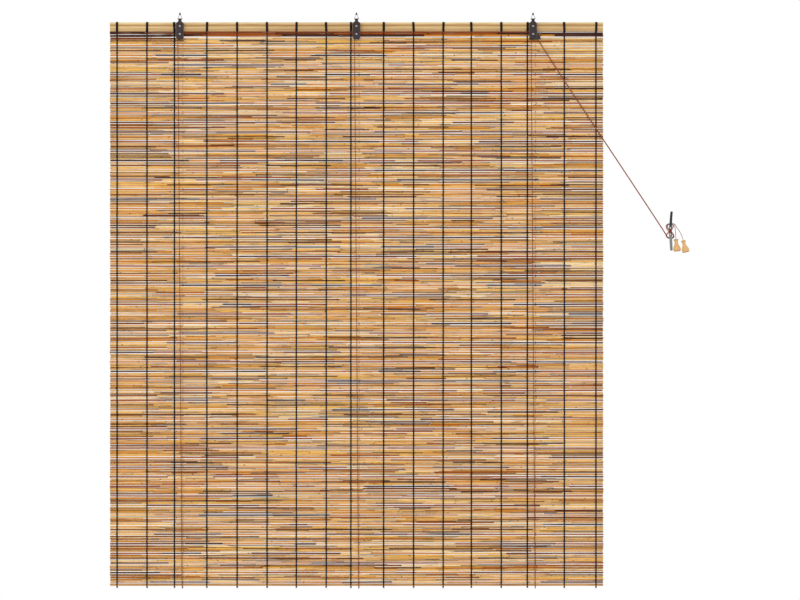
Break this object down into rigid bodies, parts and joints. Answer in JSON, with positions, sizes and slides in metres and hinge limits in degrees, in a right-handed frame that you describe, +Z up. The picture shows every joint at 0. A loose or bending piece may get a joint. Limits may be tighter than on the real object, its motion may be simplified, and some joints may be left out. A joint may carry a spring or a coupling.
{
  "type": "reed roll-up blind",
  "caption": "Roll-up window blind of twine-tied reeds under a wooden batten, with ring-hung pulley brackets, a cord lock, lift cords, pull cords with turned knobs and a wall cleat.",
  "frame": {"origin": "the point where a hook bears in the middle hanging ring, under its pinched top", "axes": "+X to the right seen from the room, +Z up, -Y to the room; the ring bars lie along Y = 0"},
  "size_m": [1.6448, 0.028, 1.6366],
  "materials": {
    "reed": "dry split reed, satin, mixed tan, peach and brown",
    "slat": "plain pale wood",
    "batten_wood": "planed pale pine, clear satin",
    "twine": "black waxed cotton twine",
    "lift_cord": "braided reddish brown cord",
    "pull_cord": "braided brown cord",
    "bracket_metal": "bronze-brown lacquered steel",
    "rivet_metal": "bright rivet",
    "ring_wire": "bright zinc-plated wire",
    "wheel_brass": "turned brass",
    "cam_metal": "dark brown cast zinc",
    "cleat_metal": "grey cast zinc",
    "knob_wood": "turned pale beech, satin"
  },
  "bodies": {
    "wall_side": {"ring_left": "ring_wire", "ring_middle": "ring_wire", "ring_right": "ring_wire", "cleat": "cleat_metal", "pull_cord_left": "pull_cord", "pull_cord_right": "pull_cord", "knob_left": "knob_wood", "knob_right": "knob_wood"},
    "headrail": {"head_batten": "batten_wood", "mat_panel_01": "reed", "warp_loops": "twine", "warp_twines": "twine", "bracket_left": "bracket_metal", "bracket_middle": "bracket_metal", "lock_housing": "bracket_metal", "bracket_rivets": "rivet_metal", "lift_cord_left": "lift_cord", "lift_cord_middle": "lift_cord", "lift_cord_right": "lift_cord"},
    "wheel_left": {"wheel_left": "wheel_brass"},
    "wheel_middle": {"wheel_middle": "wheel_brass"},
    "wheel_right": {"wheel_right": "wheel_brass"},
    "lock_cam": {"lock_cam": "cam_metal"},
    "roll_02": {"mat_panel_02": "reed"},
    "roll_03": {"mat_panel_03": "reed"},
    "roll_04": {"mat_panel_04": "reed"},
    "roll_05": {"mat_panel_05": "reed"},
    "roll_06": {"mat_panel_06": "reed"},
    "roll_07": {"mat_panel_07": "reed"},
    "roll_08": {"mat_panel_08": "reed"},
    "roll_09": {"mat_panel_09": "reed"},
    "roll_10": {"mat_panel_10": "reed"},
    "roll_11": {"mat_panel_11": "reed"},
    "roll_12": {"mat_panel_12": "reed"},
    "roll_13": {"mat_panel_13": "reed"},
    "roll_14": {"mat_panel_14": "reed"},
    "roll_15": {"mat_panel_15": "reed"},
    "roll_16": {"mat_panel_16": "reed"},
    "roll_17": {"mat_panel_17": "reed"},
    "roll_18": {"mat_panel_18": "reed"},
    "roll_19": {"mat_panel_19": "reed"},
    "roll_20": {"mat_panel_20": "reed"},
    "roll_21": {"mat_panel_21": "reed"},
    "roll_22": {"mat_panel_22": "reed"},
    "roll_23": {"mat_panel_23": "reed"},
    "roll_24": {"mat_panel_24": "reed"},
    "roll_25": {"mat_panel_25": "reed"},
    "roll_26": {"mat_panel_26": "reed"},
    "roll_27": {"mat_panel_27": "reed"},
    "roll_28": {"mat_panel_28": "reed"},
    "roll_29": {"mat_panel_29": "reed"},
    "roll_30": {"mat_panel_30": "reed"},
    "roll_31": {"mat_panel_31": "reed"},
    "roll_32": {"mat_panel_32": "reed"},
    "roll_33": {"mat_panel_33": "reed", "bottom_slat": "slat", "warp_knots": "twine"}
  },
  "joints": [
    {"name": "swing", "type": "hinge", "parent": "wall_side", "child": "headrail", "pos_m": [0, 0, -0.012], "axis": [1, 0, 0], "range_deg": [-15, 0], "deforming": ["pull_cord_left", "pull_cord_right"]},
    {"name": "roll_up", "type": "hinge", "parent": "headrail", "child": "roll_02", "pos_m": [0, 0.0073, -0.131], "axis": [1, 0, 0], "range_deg": [0, 60], "deforming": ["warp_twines", "lift_cord_left", "lift_cord_middle", "lift_cord_right"]},
    {"name": "roll_up_02", "type": "hinge", "parent": "roll_02", "child": "roll_03", "pos_m": [0, 0.0073, -0.2126], "axis": [1, 0, 0], "range_deg": [0, 60]},
    {"name": "roll_up_03", "type": "hinge", "parent": "roll_03", "child": "roll_04", "pos_m": [0, 0.0073, -0.2942], "axis": [1, 0, 0], "range_deg": [0, 60]},
    {"name": "roll_up_04", "type": "hinge", "parent": "roll_04", "child": "roll_05", "pos_m": [0, 0.0073, -0.369], "axis": [1, 0, 0], "range_deg": [0, 60]},
    {"name": "roll_up_05", "type": "hinge", "parent": "roll_05", "child": "roll_06", "pos_m": [0, 0.0073, -0.4438], "axis": [1, 0, 0], "range_deg": [0, 60]},
    {"name": "roll_up_06", "type": "hinge", "parent": "roll_06", "child": "roll_07", "pos_m": [0, 0.0073, -0.5186], "axis": [1, 0, 0], "range_deg": [0, 60]},
    {"name": "roll_up_07", "type": "hinge", "parent": "roll_07", "child": "roll_08", "pos_m": [0, 0.0073, -0.5866], "axis": [1, 0, 0], "range_deg": [0, 60]},
    {"name": "roll_up_08", "type": "hinge", "parent": "roll_08", "child": "roll_09", "pos_m": [0, 0.0073, -0.6546], "axis": [1, 0, 0], "range_deg": [0, 60]},
    {"name": "roll_up_09", "type": "hinge", "parent": "roll_09", "child": "roll_10", "pos_m": [0, 0.0073, -0.7226], "axis": [1, 0, 0], "range_deg": [0, 60]},
    {"name": "roll_up_10", "type": "hinge", "parent": "roll_10", "child": "roll_11", "pos_m": [0, 0.0073, -0.7838], "axis": [1, 0, 0], "range_deg": [0, 60]},
    {"name": "roll_up_11", "type": "hinge", "parent": "roll_11", "child": "roll_12", "pos_m": [0, 0.0073, -0.845], "axis": [1, 0, 0], "range_deg": [0, 60]},
    {"name": "roll_up_12", "type": "hinge", "parent": "roll_12", "child": "roll_13", "pos_m": [0, 0.0073, -0.9062], "axis": [1, 0, 0], "range_deg": [0, 60]},
    {"name": "roll_up_13", "type": "hinge", "parent": "roll_13", "child": "roll_14", "pos_m": [0, 0.0073, -0.9606], "axis": [1, 0, 0], "range_deg": [0, 60]},
    {"name": "roll_up_14", "type": "hinge", "parent": "roll_14", "child": "roll_15", "pos_m": [0, 0.0073, -1.015], "axis": [1, 0, 0], "range_deg": [0, 60]},
    {"name": "roll_up_15", "type": "hinge", "parent": "roll_15", "child": "roll_16", "pos_m": [0, 0.0073, -1.0694], "axis": [1, 0, 0], "range_deg": [0, 60]},
    {"name": "roll_up_16", "type": "hinge", "parent": "roll_16", "child": "roll_17", "pos_m": [0, 0.0073, -1.117], "axis": [1, 0, 0], "range_deg": [0, 60]},
    {"name": "roll_up_17", "type": "hinge", "parent": "roll_17", "child": "roll_18", "pos_m": [0, 0.0073, -1.1646], "axis": [1, 0, 0], "range_deg": [0, 60]},
    {"name": "roll_up_18", "type": "hinge", "parent": "roll_18", "child": "roll_19", "pos_m": [0, 0.0073, -1.2122], "axis": [1, 0, 0], "range_deg": [0, 60]},
    {"name": "roll_up_19", "type": "hinge", "parent": "roll_19", "child": "roll_20", "pos_m": [0, 0.0073, -1.253], "axis": [1, 0, 0], "range_deg": [0, 60]},
    {"name": "roll_up_20", "type": "hinge", "parent": "roll_20", "child": "roll_21", "pos_m": [0, 0.0073, -1.2938], "axis": [1, 0, 0], "range_deg": [0, 60]},
    {"name": "roll_up_21", "type": "hinge", "parent": "roll_21", "child": "roll_22", "pos_m": [0, 0.0073, -1.3346], "axis": [1, 0, 0], "range_deg": [0, 60]},
    {"name": "roll_up_22", "type": "hinge", "parent": "roll_22", "child": "roll_23", "pos_m": [0, 0.0073, -1.3686], "axis": [1, 0, 0], "range_deg": [0, 60]},
    {"name": "roll_up_23", "type": "hinge", "parent": "roll_23", "child": "roll_24", "pos_m": [0, 0.0073, -1.4026], "axis": [1, 0, 0], "range_deg": [0, 60]},
    {"name": "roll_up_24", "type": "hinge", "parent": "roll_24", "child": "roll_25", "pos_m": [0, 0.0073, -1.4366], "axis": [1, 0, 0], "range_deg": [0, 60]},
    {"name": "roll_up_25", "type": "hinge", "parent": "roll_25", "child": "roll_26", "pos_m": [0, 0.0073, -1.4638], "axis": [1, 0, 0], "range_deg": [0, 60]},
    {"name": "roll_up_26", "type": "hinge", "parent": "roll_26", "child": "roll_27", "pos_m": [0, 0.0073, -1.491], "axis": [1, 0, 0], "range_deg": [0, 60]},
    {"name": "roll_up_27", "type": "hinge", "parent": "roll_27", "child": "roll_28", "pos_m": [0, 0.0073, -1.5182], "axis": [1, 0, 0], "range_deg": [0, 60]},
    {"name": "roll_up_28", "type": "hinge", "parent": "roll_28", "child": "roll_29", "pos_m": [0, 0.0073, -1.5386], "axis": [1, 0, 0], "range_deg": [0, 60]},
    {"name": "roll_up_29", "type": "hinge", "parent": "roll_29", "child": "roll_30", "pos_m": [0, 0.0073, -1.559], "axis": [1, 0, 0], "range_deg": [0, 60]},
    {"name": "roll_up_30", "type": "hinge", "parent": "roll_30", "child": "roll_31", "pos_m": [0, 0.0073, -1.5794], "axis": [1, 0, 0], "range_deg": [0, 60]},
    {"name": "roll_up_31", "type": "hinge", "parent": "roll_31", "child": "roll_32", "pos_m": [0, 0.0073, -1.593], "axis": [1, 0, 0], "range_deg": [0, 60]},
    {"name": "roll_up_32", "type": "hinge", "parent": "roll_32", "child": "roll_33", "pos_m": [0, 0.0073, -1.6066], "axis": [1, 0, 0], "range_deg": [0, 60]},
    {"name": "wheel_left_spin", "type": "hinge", "parent": "headrail", "child": "wheel_left", "pos_m": [-0.501, 0, -0.0545], "axis": [0, 1, 0], "continuous": true},
    {"name": "wheel_middle_spin", "type": "hinge", "parent": "headrail", "child": "wheel_middle", "pos_m": [0, 0, -0.0545], "axis": [0, 1, 0], "continuous": true},
    {"name": "wheel_right_spin", "type": "hinge", "parent": "headrail", "child": "wheel_right", "pos_m": [0.501, 0, -0.0545], "axis": [0, 1, 0], "continuous": true},
    {"name": "cam_release", "type": "hinge", "parent": "headrail", "child": "lock_cam", "pos_m": [0.517, 0, -0.064], "axis": [0, 1, 0], "range_deg": [0, 25]}
  ],
  "couplings": [
    {"joint": "roll_up_02", "follows": "roll_up", "ratio": 1},
    {"joint": "roll_up_03", "follows": "roll_up", "ratio": 1},
    {"joint": "roll_up_04", "follows": "roll_up", "ratio": 1},
    {"joint": "roll_up_05", "follows": "roll_up", "ratio": 1},
    {"joint": "roll_up_06", "follows": "roll_up", "ratio": 1},
    {"joint": "roll_up_07", "follows": "roll_up", "ratio": 1},
    {"joint": "roll_up_08", "follows": "roll_up", "ratio": 1},
    {"joint": "roll_up_09", "follows": "roll_up", "ratio": 1},
    {"joint": "roll_up_10", "follows": "roll_up", "ratio": 1},
    {"joint": "roll_up_11", "follows": "roll_up", "ratio": 1},
    {"joint": "roll_up_12", "follows": "roll_up", "ratio": 1},
    {"joint": "roll_up_13", "follows": "roll_up", "ratio": 1},
    {"joint": "roll_up_14", "follows": "roll_up", "ratio": 1},
    {"joint": "roll_up_15", "follows": "roll_up", "ratio": 1},
    {"joint": "roll_up_16", "follows": "roll_up", "ratio": 1},
    {"joint": "roll_up_17", "follows": "roll_up", "ratio": 1},
    {"joint": "roll_up_18", "follows": "roll_up", "ratio": 1},
    {"joint": "roll_up_19", "follows": "roll_up", "ratio": 1},
    {"joint": "roll_up_20", "follows": "roll_up", "ratio": 1},
    {"joint": "roll_up_21", "follows": "roll_up", "ratio": 1},
    {"joint": "roll_up_22", "follows": "roll_up", "ratio": 1},
    {"joint": "roll_up_23", "follows": "roll_up", "ratio": 1},
    {"joint": "roll_up_24", "follows": "roll_up", "ratio": 1},
    {"joint": "roll_up_25", "follows": "roll_up", "ratio": 1},
    {"joint": "roll_up_26", "follows": "roll_up", "ratio": 1},
    {"joint": "roll_up_27", "follows": "roll_up", "ratio": 1},
    {"joint": "roll_up_28", "follows": "roll_up", "ratio": 1},
    {"joint": "roll_up_29", "follows": "roll_up", "ratio": 1},
    {"joint": "roll_up_30", "follows": "roll_up", "ratio": 1},
    {"joint": "roll_up_31", "follows": "roll_up", "ratio": 1},
    {"joint": "roll_up_32", "follows": "roll_up", "ratio": 1}
  ]
}
